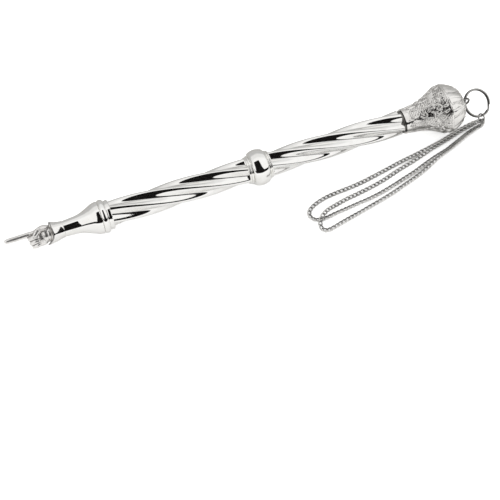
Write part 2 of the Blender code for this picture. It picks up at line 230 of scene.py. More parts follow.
def blended(tree, factor, first, second):
    """Mix of two colours or colour sockets."""
    node = tree.nodes.new("ShaderNodeMix")
    node.data_type = "RGBA"
    tree.links.new(factor, node.inputs["Factor"])
    for socket, value in ((node.inputs["A"], first), (node.inputs["B"], second)):
        if isinstance(value, tuple):
            socket.default_value = (*value, 1.0)
        else:
            tree.links.new(value, socket)
    return node.outputs["Result"]


def noise(tree, vector, scale, detail=2.0, roughness=0.5):
    node = tree.nodes.new("ShaderNodeTexNoise")
    node.inputs["Scale"].default_value = scale
    node.inputs["Detail"].default_value = detail
    node.inputs["Roughness"].default_value = roughness
    tree.links.new(vector, node.inputs["Vector"])
    return node.outputs["Fac"]


def bump(tree, height, distance, strength, normal=None):
    node = tree.nodes.new("ShaderNodeBump")
    node.inputs["Distance"].default_value = distance
    node.inputs["Strength"].default_value = strength
    tree.links.new(height, node.inputs["Height"])
    if normal is not None:
        tree.links.new(normal, node.inputs["Normal"])
    return node.outputs["Normal"]


def stretched(tree, vector, scale):
    node = tree.nodes.new("ShaderNodeMapping")
    node.inputs["Scale"].default_value = scale
    tree.links.new(vector, node.inputs["Vector"])
    return node.outputs["Vector"]


def metal(name, bright, dull, roughness, recess_and_painted_shade=None, dark=(0.05, 0.045, 0.04), cast=0.0):
    """Polished plate: uneven polish, hairlines, faint tarnish and, where named, a darkening attribute:
    darker hollows on some pieces, painted shade on the wires, the chain and the cuff's edge.
    """
    material = bpy.data.materials.new(name)
    material.use_nodes = True
    tree = material.node_tree
    shader = tree.nodes["Principled BSDF"]
    shader.inputs["Metallic"].default_value = 1.0
    where = tree.nodes.new("ShaderNodeTexCoord").outputs["Object"]
    cloud = noise(tree, where, 160.0, 3.0)
    colour = blended(tree, ramp(tree, cloud, 0.45, 0.72), bright, dull)
    hairlines = noise(tree, stretched(tree, where, (0.25, 1.0, 1.0)), 5200.0, 2.0, 0.6)
    polish = number(tree, "MULTIPLY_ADD", cloud, 0.05, roughness - 0.02)
    if recess_and_painted_shade:
        # darkening from the mesh attribute: darker hollows, and painted shade on the wires, the chain and
        # the cuff's edge
        attribute = tree.nodes.new("ShaderNodeAttribute")
        attribute.attribute_name = recess_and_painted_shade
        darkening = attribute.outputs["Fac"]
        mottled = number(tree, "MULTIPLY", darkening, ramp(tree, cloud, 0.2, 0.6, 0.75, 1.0))
        colour = blended(tree, mottled, colour, dark)
        polish = number(tree, "MULTIPLY_ADD", darkening, 0.3, polish)
    tree.links.new(colour, shader.inputs["Base Color"])
    tree.links.new(polish, shader.inputs["Roughness"])
    normal = bump(tree, hairlines, 0.00003, 0.12)
    if cast:
        normal = bump(tree, noise(tree, where, 950.0, 3.0, 0.6), cast, 0.8, normal)
    tree.links.new(normal, shader.inputs["Normal"])
    return material


SILVER = metal("polished_silver", (0.95, 0.945, 0.93), (0.9, 0.89, 0.865), 0.045)
SHAFT_SILVER = metal("shaft_silver", (0.94, 0.935, 0.92), (0.88, 0.87, 0.85), 0.05, recess_and_painted_shade="recess_and_painted_shade")
HAND_SILVER = metal("cast_silver", (0.9, 0.885, 0.87), (0.74, 0.72, 0.7), 0.3, recess_and_painted_shade="recess_and_painted_shade",
                    dark=(0.03, 0.028, 0.026), cast=0.00015)
# its dark colour is painted shade on the cuff's front lip
CUFF_SILVER = metal("cuff_silver", (0.93, 0.92, 0.905), (0.84, 0.83, 0.81), 0.08, recess_and_painted_shade="recess_and_painted_shade")
CHASED_SILVER = metal("chased_silver", (0.88, 0.865, 0.845), (0.74, 0.725, 0.705), 0.06, recess_and_painted_shade="recess_and_painted_shade",
                      dark=(0.12, 0.11, 0.1))
# its dark colour is painted shade on the flanks of the lug and ring wires
WIRE_SILVER = metal("wire_silver", (0.62, 0.61, 0.59), (0.4, 0.39, 0.37), 0.1, recess_and_painted_shade="recess_and_painted_shade",
                    dark=(0.015, 0.014, 0.013))
# its dark colour is painted shade and painted reflection on the chain links
CHAIN_SILVER = metal("chain_silver", (0.92, 0.91, 0.89), (0.76, 0.75, 0.73), 0.3, recess_and_painted_shade="recess_and_painted_shade",
                     dark=(0.012, 0.011, 0.01))
DARK_SILVER = metal("groove_silver", (0.2, 0.195, 0.185), (0.1, 0.095, 0.09), 0.3)
STEEL = metal("plain_steel", (0.56, 0.57, 0.58), (0.42, 0.42, 0.43), 0.3)
BRASS = metal("plain_brass", (0.76, 0.58, 0.3), (0.55, 0.4, 0.2), 0.28)


def make_floor():
    size = 1.2
    mesh = bpy.data.meshes.new("floor")
    corners = [(-size, -size, 0), (size, -size, 0), (size, size, 0), (-size, size, 0)]
    mesh.from_pydata(corners, [], [(0, 1, 2, 3)])
    floor = bpy.data.objects.new("floor", mesh)
    bpy.context.scene.collection.objects.link(floor)
    material = bpy.data.materials.new("floor_paper")
    material.use_nodes = True
    tree = material.node_tree
    shader = tree.nodes["Principled BSDF"]
    where = tree.nodes.new("ShaderNodeTexCoord").outputs["Object"]
    fibres = noise(tree, where, 900.0, 4.0)
    paper = blended(tree, ramp(tree, fibres, 0.3, 0.7), (0.955, 0.955, 0.95), (0.965, 0.965, 0.96))
    tree.links.new(paper, shader.inputs["Base Color"])
    shader.inputs["Roughness"].default_value = 0.9
    shader.inputs["Specular IOR Level"].default_value = 0.1
    path = tree.nodes.new("ShaderNodeLightPath")
    shader.inputs["Emission Color"].default_value = (1.0, 1.0, 1.0, 1.0)
    lit = number(tree, "MULTIPLY", path.outputs["Is Camera Ray"], 0.55)
    tree.links.new(lit, shader.inputs["Emission Strength"])
    grey = tree.nodes.new("ShaderNodeEmission")
    grey.inputs["Color"].default_value = (0.5, 0.495, 0.48, 1.0)
    side = tree.nodes.new("ShaderNodeSeparateXYZ")
    tree.links.new(where, side.inputs[0])
    behind = number(tree, "MULTIPLY", ramp(tree, side.outputs[1], 0.004, 0.03),
                    path.outputs["Is Glossy Ray"])
    mix = tree.nodes.new("ShaderNodeMixShader")
    tree.links.new(behind, mix.inputs[0])
    tree.links.new(shader.outputs[0], mix.inputs[1])
    tree.links.new(grey.outputs[0], mix.inputs[2])
    tree.links.new(mix.outputs[0], tree.nodes["Material Output"].inputs["Surface"])
    mesh.materials.append(material)


def make_light():
    """Soft white studio: a bright tent, grey low behind, dark where the camera stands in front."""
    world = bpy.data.worlds.new("studio")
    world.use_nodes = True
    bpy.context.scene.world = world
    tree = world.node_tree
    parts = tree.nodes.new("ShaderNodeSeparateXYZ")
    tree.links.new(tree.nodes.new("ShaderNodeTexCoord").outputs["Generated"], parts.inputs[0])
    y, z = parts.outputs[1], parts.outputs[2]
    height = number(tree, "ARCTAN2", z, number(tree, "MULTIPLY", y, -1.0))
    height = number(tree, "MULTIPLY", height, 180.0 / math.pi)
    dark = band(tree, height, 16.0, 32.0, 1.5)
    low_back = number(tree, "MAXIMUM", ramp(tree, height, 138.0, 160.0),
                      ramp(tree, height, -40.0, -60.0))
    light = number(tree, "MULTIPLY_ADD", ramp(tree, height, 104.0, 128.0), -0.17, 1.0)
    light = number(tree, "MULTIPLY_ADD", low_back, -0.3, light)
    light = number(tree, "MULTIPLY", light, number(tree, "MULTIPLY_ADD", dark, -0.985, 1.0))
    path = tree.nodes.new("ShaderNodeLightPath")
    seen = number(tree, "MAXIMUM", path.outputs["Is Camera Ray"],
                  path.outputs["Is Diffuse Ray"])
    unseen = number(tree, "SUBTRACT", 1.0, seen)
    plain = number(tree, "ADD", number(tree, "MULTIPLY", light, unseen), seen)
    background = tree.nodes["Background"]
    background.inputs["Color"].default_value = (1.0, 0.998, 0.99, 1.0)
    tree.links.new(plain, background.inputs["Strength"])
    bpy.context.scene.view_settings.view_transform = "Standard"


def make_opening():
    """The tent's dark opening, seen only in reflections, narrowing to +X."""
    points = []
    for x, top in OPENING_TOPS:
        for k in range(OPENING_ROWS):
            angle = math.radians(OPENING_LOW + (top - OPENING_LOW) * k / (OPENING_ROWS - 1))
            points.append((x, -OPENING_REACH * math.cos(angle), OPENING_REACH * math.sin(angle)))
    faces = []
    for c in range(len(OPENING_TOPS) - 1):
        for k in range(OPENING_ROWS - 1):
            here = c * OPENING_ROWS + k
            there = here + OPENING_ROWS
            faces.append((here, there, there + 1, here + 1))
    mesh = bpy.data.meshes.new("tent_opening")
    mesh.from_pydata(points, [], faces)
    opening = bpy.data.objects.new("tent_opening", mesh)
    bpy.context.scene.collection.objects.link(opening)
    material = bpy.data.materials.new("dark_cloth")
    material.use_nodes = True
    tree = material.node_tree
    shader = tree.nodes["Principled BSDF"]
    weave = noise(tree, tree.nodes.new("ShaderNodeTexCoord").outputs["Object"], 300.0, 3.0)
    cloth = blended(tree, weave, (0.004, 0.004, 0.004), (0.012, 0.011, 0.011))
    tree.links.new(cloth, shader.inputs["Base Color"])
    shader.inputs["Roughness"].default_value = 1.0
    shader.inputs["Specular IOR Level"].default_value = 0.0
    mesh.materials.append(material)
    opening.visible_camera = False
    opening.visible_diffuse = False
    opening.visible_shadow = False


make_camera()


# Mesh helpers

def smooth_curve(points, count):
    """Points on a Catmull-Rom curve through the given points, evenly stepped along its length."""
    knots = np.array(points, float)
    knots = np.vstack([2 * knots[0] - knots[1], knots, 2 * knots[-1] - knots[-2]])
    t = np.linspace(0, 1, 24, endpoint=False)[:, None]
    runs = []
    for p0, p1, p2, p3 in zip(knots, knots[1:], knots[2:], knots[3:]):
        runs.append(0.5 * (2 * p1 + (p2 - p0) * t + (2 * p0 - 5 * p1 + 4 * p2 - p3) * t ** 2
                           + (3 * p1 - p0 - 3 * p2 + p3) * t ** 3))
    dense = np.vstack(runs + [knots[-2][None]])
    return even_steps(dense, count)


def even_steps(line, count):
    gone = np.concatenate([[0], np.cumsum(np.linalg.norm(np.diff(line, axis=0), axis=1))])
    marks = np.linspace(0, gone[-1], count)
    return np.stack([np.interp(marks, gone, line[:, k]) for k in range(line.shape[1])], axis=1)


def length_of(line):
    return float(np.linalg.norm(np.diff(line, axis=0), axis=1).sum())


def add_piece(name, points, faces, material, matrix=POINTER, sharp=40.0, recess_and_painted_shade=None):
    """A mesh object from points, moved into the row frame, with an optional darkening value for each
    point: darker hollows, and painted shade on some pieces.
    """
    rotation = np.array(matrix.to_3x3())
    world = np.asarray(points, float) @ rotation.T + np.array(matrix.translation)
    mesh = bpy.data.meshes.new(name)
    mesh.from_pydata(world.tolist(), [], faces)
    mesh.validate()
    mesh.shade_smooth()
    mesh.set_sharp_from_angle(angle=math.radians(sharp))
    if recess_and_painted_shade is not None:
        layer = mesh.attributes.new("recess_and_painted_shade", "FLOAT", "POINT")
        layer.data.foreach_set("value", np.asarray(recess_and_painted_shade, np.float32).ravel())
    mesh.materials.append(material)
    piece = bpy.data.objects.new(name, mesh)
    bpy.context.scene.collection.objects.link(piece)
    return piece


def grid_faces(rows, columns, close_rows=False):
    """Quads of a grid of points whose columns close into a ring."""
    faces = []
    row_steps = rows if close_rows else rows - 1
    for r in range(row_steps):
        here = r * columns
        there = (r + 1) % rows * columns
        for c in range(columns):
            d = (c + 1) % columns
            faces.append((here + c, there + c, there + d, here + d))
    return faces


def turned(name, outline, material, sides=96, rule=None, turn=None, sharp=40.0, darkening_rule=None):
    """Turn an outline of (a, radius). rule(a, angle, radius) reshapes it, turn(a) twists its grid."""
    outline = np.array(outline, float)
    rows = len(outline)
    spin = np.array([turn(a) if turn else 0.0 for a in outline[:, 0]])
    angle = np.linspace(0, 360, sides, endpoint=False)[None, :] + spin[:, None]
    a = np.repeat(outline[:, 0:1], sides, axis=1)
    radius = np.repeat(outline[:, 1:2], sides, axis=1)
    recess_and_painted_shade = darkening_rule(a, angle, radius) if darkening_rule else None
    if rule:
        a, radius = rule(a, angle, radius)
    theta = np.radians(angle)
    points = np.stack([a, radius * np.cos(theta), radius * np.sin(theta)], axis=-1)
    faces = grid_faces(rows, sides, close_rows=True)
    return add_piece(name, points.reshape(-1, 3), faces, material, sharp=sharp, recess_and_painted_shade=recess_and_painted_shade)


def swept(name, path, section, material, matrix=POINTER, up=None, painted_flank_shade=0.0):
    """A wire of the given cross-section (pairs of offsets) along a path, carried without twist, its
    flanks darkened by painted shade where asked.
    """
    path = np.array(path, float)
    count = len(path)
    along = np.gradient(path, axis=0)
    along /= np.linalg.norm(along, axis=1)[:, None]
    side = np.cross(along, up) if up is not None else carried_side(along)
    side /= np.linalg.norm(side, axis=1)[:, None]
    other = np.cross(along, side)
    section = np.array(section, float)
    points = (path[:, None] + side[:, None] * section[None, :, 0:1]
              + other[:, None] * section[None, :, 1:2])
    columns = len(section)
    faces = grid_faces(count, columns)
    faces.append(tuple(range(columns)))
    faces.append(tuple(range(count * columns - 1, (count - 1) * columns - 1, -1)))
    # painted shade: the flanks of the wire's section are darkened
    flank = np.abs(section[:, 0]) / np.abs(section[:, 0]).max()
    recess_and_painted_shade = np.tile(painted_flank_shade * step(flank, 0.25, 0.65), count)
    return add_piece(name, points.reshape(-1, 3), faces, material, matrix=matrix, sharp=60.0,
                     recess_and_painted_shade=recess_and_painted_shade)


def carried_side(along):
    side = np.cross(along[0], (0.31, 0.52, 0.8))
    sides = []
    for t in along:
        side = side - t * side.dot(t)
        side = side / np.linalg.norm(side)
        sides.append(side)
    return np.array(sides)


def round_section(radius, sides):
    angle = np.linspace(0, 2 * np.pi, sides, endpoint=False)
    return np.stack([radius * np.cos(angle), radius * np.sin(angle)], axis=1)


def step(x, low, high):
    t = np.clip((x - low) / (high - low), 0, 1)
    return t * t * (3 - 2 * t)


# Chain

def ring_directions():
    roll, droop = math.radians(RING_ROLL), math.radians(RING_DROOP)
    threaded = Vector((0, -math.cos(roll), -math.sin(roll)))
    downward = Vector((1, 0, 0)).cross(threaded)
    outward = math.cos(droop) * Vector((1, 0, 0)) + math.sin(droop) * downward
    return threaded, outward, threaded.cross(outward)


def jump_ring_frame():
    """Jump ring's centre in the row frame, in millimetres, and the two directions of its circle."""
    threaded, outward, normal = ring_directions()
    turn = math.radians(JUMP_TURN)
    across = math.cos(turn) * normal + math.sin(turn) * outward
    to_row = POINTER.to_3x3() * (1 / MM)
    centre = Vector(joint("jump_ring_turn")["pos_m"]) / MM
    return centre, (to_row @ threaded).normalized(), (to_row @ across).normalized()


def link_shape():
    """One twisted curb link along +X, as rows of points round its wire, and how much painted shade each
    point gets.
    """
    half = 0.5 * (LINK_PITCH + 2 * LINK_WIRE)
    turn = np.linspace(0, 2 * np.pi, 18, endpoint=False)
    power = LINK_SQUARENESS
    squared = 1 / (np.abs(np.cos(turn)) ** power + np.abs(np.sin(turn)) ** power) ** (1 / power)
    along = half * squared * np.cos(turn)
    across = LINK_HALF_WIDTH * squared * np.sin(turn)
    twist = np.radians(LINK_TWIST) * along / half
    line = np.stack([along, across * np.cos(twist), across * np.sin(twist)], axis=1)
    tangent = np.roll(line, -1, axis=0) - np.roll(line, 1, axis=0)
    tangent /= np.linalg.norm(tangent, axis=1)[:, None]
    side = np.cross(tangent, line)
    side /= np.linalg.norm(side, axis=1)[:, None]
    other = np.cross(tangent, side)
    section = round_section(LINK_WIRE, 8)
    offset = side[:, None] * section[None, :, 0:1] + other[:, None] * section[None, :, 1:2]
    outward = line / np.linalg.norm(line, axis=1)[:, None]
    # painted shade: the inside of each link, where its neighbours lie, and the underside of its wire are
    # darkened, and one diagonal half of the link is darkened as a painted reflection
    inner = -(offset * outward[:, None]).sum(axis=2) / LINK_WIRE
    low = step(-offset[..., 2] / LINK_WIRE, 0.2, 0.9)
    painted_shade_half = step(0.8 * (along / half) + 0.6 * across / LINK_HALF_WIDTH, 0.3, 0.8)
    recess_and_painted_shade = np.maximum(np.maximum(step(inner, 0.3, 0.9), low), 0.55 * painted_shade_half[:, None])
    return line[:, None] + offset, recess_and_painted_shade


def make_chain(name, node, route, starts, seed):
    """One loop of curb chain, from the jump ring round its route and back to the jump ring."""
    centre, threaded, across = jump_ring_frame()
    ends = []
    for angle in starts:
        t = math.radians(angle)
        ends.append(centre + HOOK_REACH * (math.cos(t) * threaded + math.sin(t) * across))
    ends = [tuple(e) for e in ends]
    line = smooth_curve([ends[0]] + list(route) + [ends[1]], CHAIN_SAMPLES)
    travelled = np.linspace(0, 1, CHAIN_SAMPLES)
    from_end = np.minimum(travelled, np.linspace(1, 0, CHAIN_SAMPLES)) * length_of(line)
    line[:, 2] = np.maximum(line[:, 2], 0.5 * CHAIN_WIDTH) - CHAIN_LOWERED * step(from_end, 2.0, 12.0)
    whole = length_of(line)
    count = round(whole / LINK_PITCH)
    places = even_steps(line, 2 * count + 1)
    shape, shade = link_shape()
    rows, sides = shape.shape[:2]
    rng = np.random.default_rng(seed)
    sway = np.convolve(rng.normal(0, 1, count + 14), np.ones(8) / 8, "valid")[:count]
    points, faces = [], []
    link_faces = np.array(grid_faces(rows, sides, close_rows=True))
    for k in range(count):
        along = places[2 * k + 2] - places[2 * k]
        along /= np.linalg.norm(along)
        up = np.array((0, 0, 1.0)) - along * along[2]
        up /= np.linalg.norm(up)
        side = np.cross(up, along)
        roll = math.radians(LINK_LEAN + LINK_SWAY * sway[k])
        rolled_side = side * math.cos(roll) + up * math.sin(roll)
        rolled_up = up * math.cos(roll) - side * math.sin(roll)
        axes = np.stack([along, rolled_side, rolled_up])
        points.append(shape.reshape(-1, 3) @ axes + places[2 * k + 1])
        faces.append(link_faces + k * rows * sides)
    points = np.vstack(points)
    chain = add_piece(name, points, np.vstack(faces).tolist(), CHAIN_SILVER, matrix=ROW, sharp=60.0,
                      recess_and_painted_shade=np.tile(shade.ravel(), count))
    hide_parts(node)
    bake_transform(chain)
    return chain


make_chain("chain_out_links", "chain_out_loop", OUT_LOOP, (-12.0, 12.0), 3)
make_chain("chain_in_links", "chain_in_loop", IN_LOOP, (-37.0, 37.0), 8)
make_floor()
make_light()
make_opening()


# Hand

def sphere():
    """Unit sphere as points and faces."""
    rows, columns = 10, 16
    lat = np.linspace(-np.pi / 2, np.pi / 2, rows + 2)[1:-1]
    lon = np.linspace(0, 2 * np.pi, columns, endpoint=False)
    grid = np.stack([np.repeat(np.sin(lat)[:, None], columns, 1),
                     np.cos(lat)[:, None] * np.cos(lon)[None], np.cos(lat)[:, None] * np.sin(lon)[None]],
                    axis=-1).reshape(-1, 3)
    points = np.vstack([grid, [(-1, 0, 0), (1, 0, 0)]])
    faces = grid_faces(rows, columns)
    top = rows * columns
    for c in range(columns):
        d = (c + 1) % columns
        faces.append((top, c, d))
        faces.append((top + 1, (rows - 1) * columns + d, (rows - 1) * columns + c))
    return points, faces


def hand_frame(a, u, w):
    """Hand coordinates to the pointer frame: u towards the index finger, w out of the palm."""
    roll = math.radians(HAND_ROLL)
    return (a, u * math.cos(roll) - w * math.sin(roll), u * math.sin(roll) + w * math.cos(roll))


def limb(points, radii):
    """Sphere centres and radii along a bent limb."""
    line = smooth_curve(points, 40) if len(points) > 2 else even_steps(np.array(points, float), 40)
    size = np.interp(np.linspace(0, 1, 40), np.linspace(0, 1, len(radii)), radii)
    return [(tuple(c), (r, r, r)) for c, r in zip(line, size)]


def hand_balls():
    balls = [((19.0, -0.2, -0.6), (4.6, 5.0, 3.7)), ((21.6, 0.2, -0.2), (3.9, 4.4, 3.9)),
             ((23.5, 0.0, 0.0), (3.0, 4.0, 3.9)), ((17.6, -0.3, -1.6), (2.6, 4.9, 2.6))]
    for u, reach, size in ((0.15, 0.0, 1.32), (-2.2, 0.25, 1.3), (-4.25, 0.95, 1.12)):
        balls += limb([(17.4, u * 0.95, -3.2), (14.6 + reach, u, -2.9), (13.35 + reach, u, -0.9),
                       (13.3 + reach, u, 1.6), (14.9 + reach, u * 0.97, 3.4),
                       (17.1, u * 0.92, 3.7)], [size, size, size * 1.04, size * 1.02, size, size * 0.8])
    balls += limb([(18.0, FINGER_OFFSET, -2.2), (15.2, FINGER_OFFSET, -0.7),
                   (12.4, FINGER_OFFSET, 0.0)], [1.6, 1.45, 1.3])
    balls += limb([(22.8, 3.1, 1.6), (20.4, 3.6, 3.2), (18.0, 2.9, 4.2), (15.9, 1.1, 4.75)],
                  [1.7, 1.65, 1.5, 1.15])
    joints = [1.34, 1.44, 1.48, 1.45, 1.48, 1.5, 1.48, 1.5, 1.55]
    balls += limb([(1.35, FINGER_OFFSET, 0.0), (13.0, FINGER_OFFSET, 0.0)], joints)
    return balls


def make_hand():
    ball_points, ball_faces = sphere()
    points, faces = [], []
    for centre, radii in hand_balls():
        base = len(points) * len(ball_points)
        moved = ball_points * np.array(radii) + np.array(centre)
        points.append([hand_frame(*p) for p in moved])
        faces += [tuple(base + k for k in face) for face in ball_faces]
    rough = add_piece("hand_rough", np.vstack(points), faces, HAND_SILVER)
    remesh = rough.modifiers.new("union", "REMESH")
    remesh.mode = "VOXEL"
    remesh.voxel_size = 0.15 * MM
    settle = rough.modifiers.new("settle", "SMOOTH")
    settle.factor = 0.5
    settle.iterations = 5
    bpy.context.view_layer.update()
    mesh = bpy.data.meshes.new_from_object(rough.evaluated_get(bpy.context.evaluated_depsgraph_get()))
    bpy.data.objects.remove(rough)
    mesh.name = "hand"
    mesh.shade_smooth()
    layer = mesh.attributes.new("recess_and_painted_shade", "FLOAT", "POINT")
    layer.data.foreach_set("value", hollows(mesh))
    if not mesh.materials:
        mesh.materials.append(HAND_SILVER)
    hand = bpy.data.objects.new("hand", mesh)
    bpy.context.scene.collection.objects.link(hand)
    finish_piece(hand, "pointer", "silver_hand", "index_finger", "fist")


def hollows(mesh):
    """How hollow the surface is at each vertex, 0 to 1, from its neighbours."""
    count = len(mesh.vertices)
    co = np.zeros(count * 3)
    mesh.vertices.foreach_get("co", co)
    co = co.reshape(-1, 3)
    normal = np.zeros(count * 3)
    mesh.vertices.foreach_get("normal", normal)
    normal = normal.reshape(-1, 3)
    edges = np.zeros(len(mesh.edges) * 2, int)
    mesh.edges.foreach_get("vertices", edges)
    edges = edges.reshape(-1, 2)
    degree = np.bincount(edges.ravel(), minlength=count)[:, None]
    value = np.einsum("ij,ij->i", neighbour_mean(co, edges, degree) - co, normal)[:, None]
    for _ in range(6):
        value = 0.5 * value + 0.5 * neighbour_mean(value, edges, degree)
    return step(value[:, 0] / MM, 0.0012, 0.008).astype(np.float32)


def neighbour_mean(values, edges, degree):
    total = np.zeros_like(values)
    np.add.at(total, edges[:, 0], values[edges[:, 1]])
    np.add.at(total, edges[:, 1], values[edges[:, 0]])
    return total / np.maximum(degree, 1)


def finish_piece(piece, body, slot, *nodes):
    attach(piece, body)
    if nodes:
        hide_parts(*nodes)


def facing(angle):
    """Degrees from the side of the pointer that looks at the palm's front, wrapped to +-180."""
    return (np.asarray(angle) - PALM_FRONT + 180.0) % 360.0 - 180.0


def make_cuff():
    def rule(a, angle, radius):
        lean = facing(angle)
        shift = 0.5 * np.cos(np.radians(lean)) - 3.3 * step(lean, 20.0, 85.0) * step(-lean, -150.0, -90.0)
        near = step(-a, -CUFF_START - 2.6, -CUFF_START)
        return a + shift * near, radius

    outline = [(CUFF_START + 0.9, 3.6), (CUFF_START + 0.5, 4.9), (CUFF_START, 5.25),
               (CUFF_START - 0.05, 5.55), (CUFF_START + 0.25, 5.8), (CUFF_START + 0.7, 5.8),
               (26.2, 5.45), (27.2, 5.1), (28.6, 4.75), (30.0, 4.5), (30.9, 4.42), (CUFF_END, 4.3),
               (CUFF_END, 2.0), (28.0, 2.0)]
    # painted shade: the cuff's front lip, beside the fist, is darkened
    cuff = turned("wrist_cuff_shell", outline, CUFF_SILVER, rule=rule,
                  darkening_rule=lambda a, angle, radius: 0.9 * step(-a, -25.0, -24.75))
    finish_piece(cuff, "pointer", "silver_hand", "wrist_cuff")


def bead_profile(start, end, low, high, count=9, power=0.5):
    """Half-round moulding between two places along the axis."""
    t = np.linspace(0, 1, count)
    lift = np.maximum(1 - (2 * t - 1) ** 2, 0) ** power
    return [(start + (end - start) * s, low + (high - low) * h) for s, h in zip(t, lift)]


def lined(outline):
    """An outline of (a, radius) taken down to the bore at both ends."""
    return outline + [(outline[-1][0], TURNED_BORE), (outline[0][0], TURNED_BORE)]


def add_turned(name, node, outline, material=SILVER, slot="silver_turned"):
    finish_piece(turned(name, outline, material), "pointer", slot, node)


def make_neck():
    flare = smooth_curve([(31.4, 4.28), (35.0, 4.5), (38.5, 4.8), (41.5, 5.5), (45.0, 6.9), (48.0, 8.2),
                          (50.4, 8.7), (51.1, 8.6)], 40)
    add_turned("trumpet_neck_shell", "trumpet_neck", lined([tuple(p) for p in flare]))

    collar = [(51.1, 7.9)] + bead_profile(51.2, 54.5, 8.1, 9.05, 15, 0.62) + [(54.6, 7.4)]
    collar += [(54.7, TURNED_BORE), (51.1, TURNED_BORE)]
    add_turned("front_collar_bead", "front_collar", collar)

    ring = [(54.6, 7.55), (54.9, 7.7), (55.4, 7.8), (56.0, 7.9), (56.5, 7.98), (56.8, 7.8), (57.0, 7.2)]
    add_turned("thin_ring_bead", "thin_ring", lined(ring))


def make_knop():
    lower = [(132.2, 6.6)] + bead_profile(132.3, 133.3, 6.9, 7.4) + bead_profile(133.4, 134.6, 7.1, 7.75)
    add_turned("knop_lower_moulding", "knop_lower_flange", lined(lower + [(134.7, 7.2)]))

    upper = [(143.7, 7.2)] + bead_profile(143.8, 144.8, 7.1, 7.75) + bead_profile(144.9, 145.75, 6.9, 7.4)
    add_turned("knop_upper_moulding", "knop_upper_flange", lined(upper + [(145.85, 6.6)]))

    bulge = smooth_curve([(134.65, 7.6), (134.8, 8.1), (135.8, 9.1), (139.2, 9.85), (142.6, 9.1),
                          (143.6, 8.1), (143.75, 7.6)], 34)
    add_turned("knop_barrel_shell", "knop_barrel", lined([tuple(p) for p in bulge]))


def make_joint_ring():
    groove = [(221.4, 5.6), (221.6, 6.2), (222.6, 6.2), (222.8, 5.6)]
    add_turned("joint_ring_band", "joint_ring", lined(groove), DARK_SILVER, "dark_silver")


def make_shaft(name, node, ends, phase):
    """Twisted shaft: rounded strands flowing into hollows, dulled a little in the hollows."""
    def wave(a, angle):
        return np.cos(np.radians(STRANDS * (angle - phase - 360.0 * a / TWIST_LEAD)))

    def rule(a, angle, radius):
        outer = radius > SHAFT_BORE + 0.1
        middle, swing = (SHAFT_CROWN + SHAFT_VALLEY) / 2, (SHAFT_CROWN - SHAFT_VALLEY) / 2
        return a, np.where(outer, middle - swing * wave(a, angle), radius)

    outline = [(a, SHAFT_CROWN) for a in np.linspace(ends[0], ends[1], 110)]
    outline += [(ends[1], SHAFT_BORE), (ends[0], SHAFT_BORE)]
    piece = turned(name, outline, SHAFT_SILVER, sides=32 * STRANDS, rule=rule, sharp=70.0,
                   turn=lambda a: phase + 360.0 * a / TWIST_LEAD,
                   darkening_rule=lambda a, angle, radius: 0.3 * step(wave(a, angle), 0.9, 1.0))
    finish_piece(piece, "pointer", "silver_shaft", node)


make_hand()
make_cuff()
make_neck()
make_knop()
make_joint_ring()
make_shaft("lower_shaft_strands", "lower_shaft", LOWER_SHAFT, LOWER_PHASE)
make_shaft("upper_shaft_strands", "upper_shaft", UPPER_SHAFT, UPPER_PHASE)


# Pommel

BELL_CURVE = ((222.8, 6.95), (226.0, 7.15), (230.0, 7.5), (233.5, 8.2), (236.5, 9.1), (240.8, 11.1),
              (244.1, 12.85), (246.2, 13.5), (247.05, 13.6))
DOME_CURVE = ((247.05, 13.6), (248.2, 13.5), (250.5, 12.8), (253.3, 11.4), (255.6, 9.8), (257.2, 7.7),
              (258.2, 5.4), (258.35, 4.8))
PANELS = 5
RELIEF = 0.42
RELIEF_BASE = 0.16           # how far the ground between the relief lies under the shell's surface


def ridge(distance, width, height):
    return height * np.sqrt(np.clip(1 - (distance / width) ** 2, 0, 1))


def stroke(p, q, line, width, height):
    """Raised stroke along a line of points, thinner towards its end."""
    best = np.zeros_like(p)
    size = np.linspace(1.0, 0.35, len(line))
    for (cp, cq), s in zip(line, size):
        best = np.maximum(best, ridge(np.hypot(p - cp, q - cq), width * s, height * s ** 0.3))
    return best


def leaf(p, q, centre, angle, length, width, height):
    """Raised leaf with a sunk vein, pointed at its tip."""
    c, s = math.cos(math.radians(angle)), math.sin(math.radians(angle))
    u = (p - centre[0]) * c + (q - centre[1]) * s
    v = -(p - centre[0]) * s + (q - centre[1]) * c
    t = u / length
    half = width * np.sqrt(np.clip(1 - t ** 2, 0, 1)) * (1 - 0.35 * t)
    body = np.where(np.abs(t) < 1, np.clip(1 - (v / np.maximum(half, 1e-6)) ** 2, 0, 1), 0)
    vein = 1 - 0.55 * np.exp(-(v / 0.16) ** 2) * (np.abs(t) < 0.9)
    return height * np.sqrt(body) * vein


def spiral(centre, start, turns, radius, side):
    """Points of a scroll that winds in towards its centre."""
    t = np.linspace(0, 1, 34)
    angle = np.radians(start) + side * 2 * np.pi * turns * t
    r = radius * (1 - 0.82 * t)
    return np.stack([centre[0] + r * np.cos(angle), centre[1] + r * np.sin(angle)], axis=1)


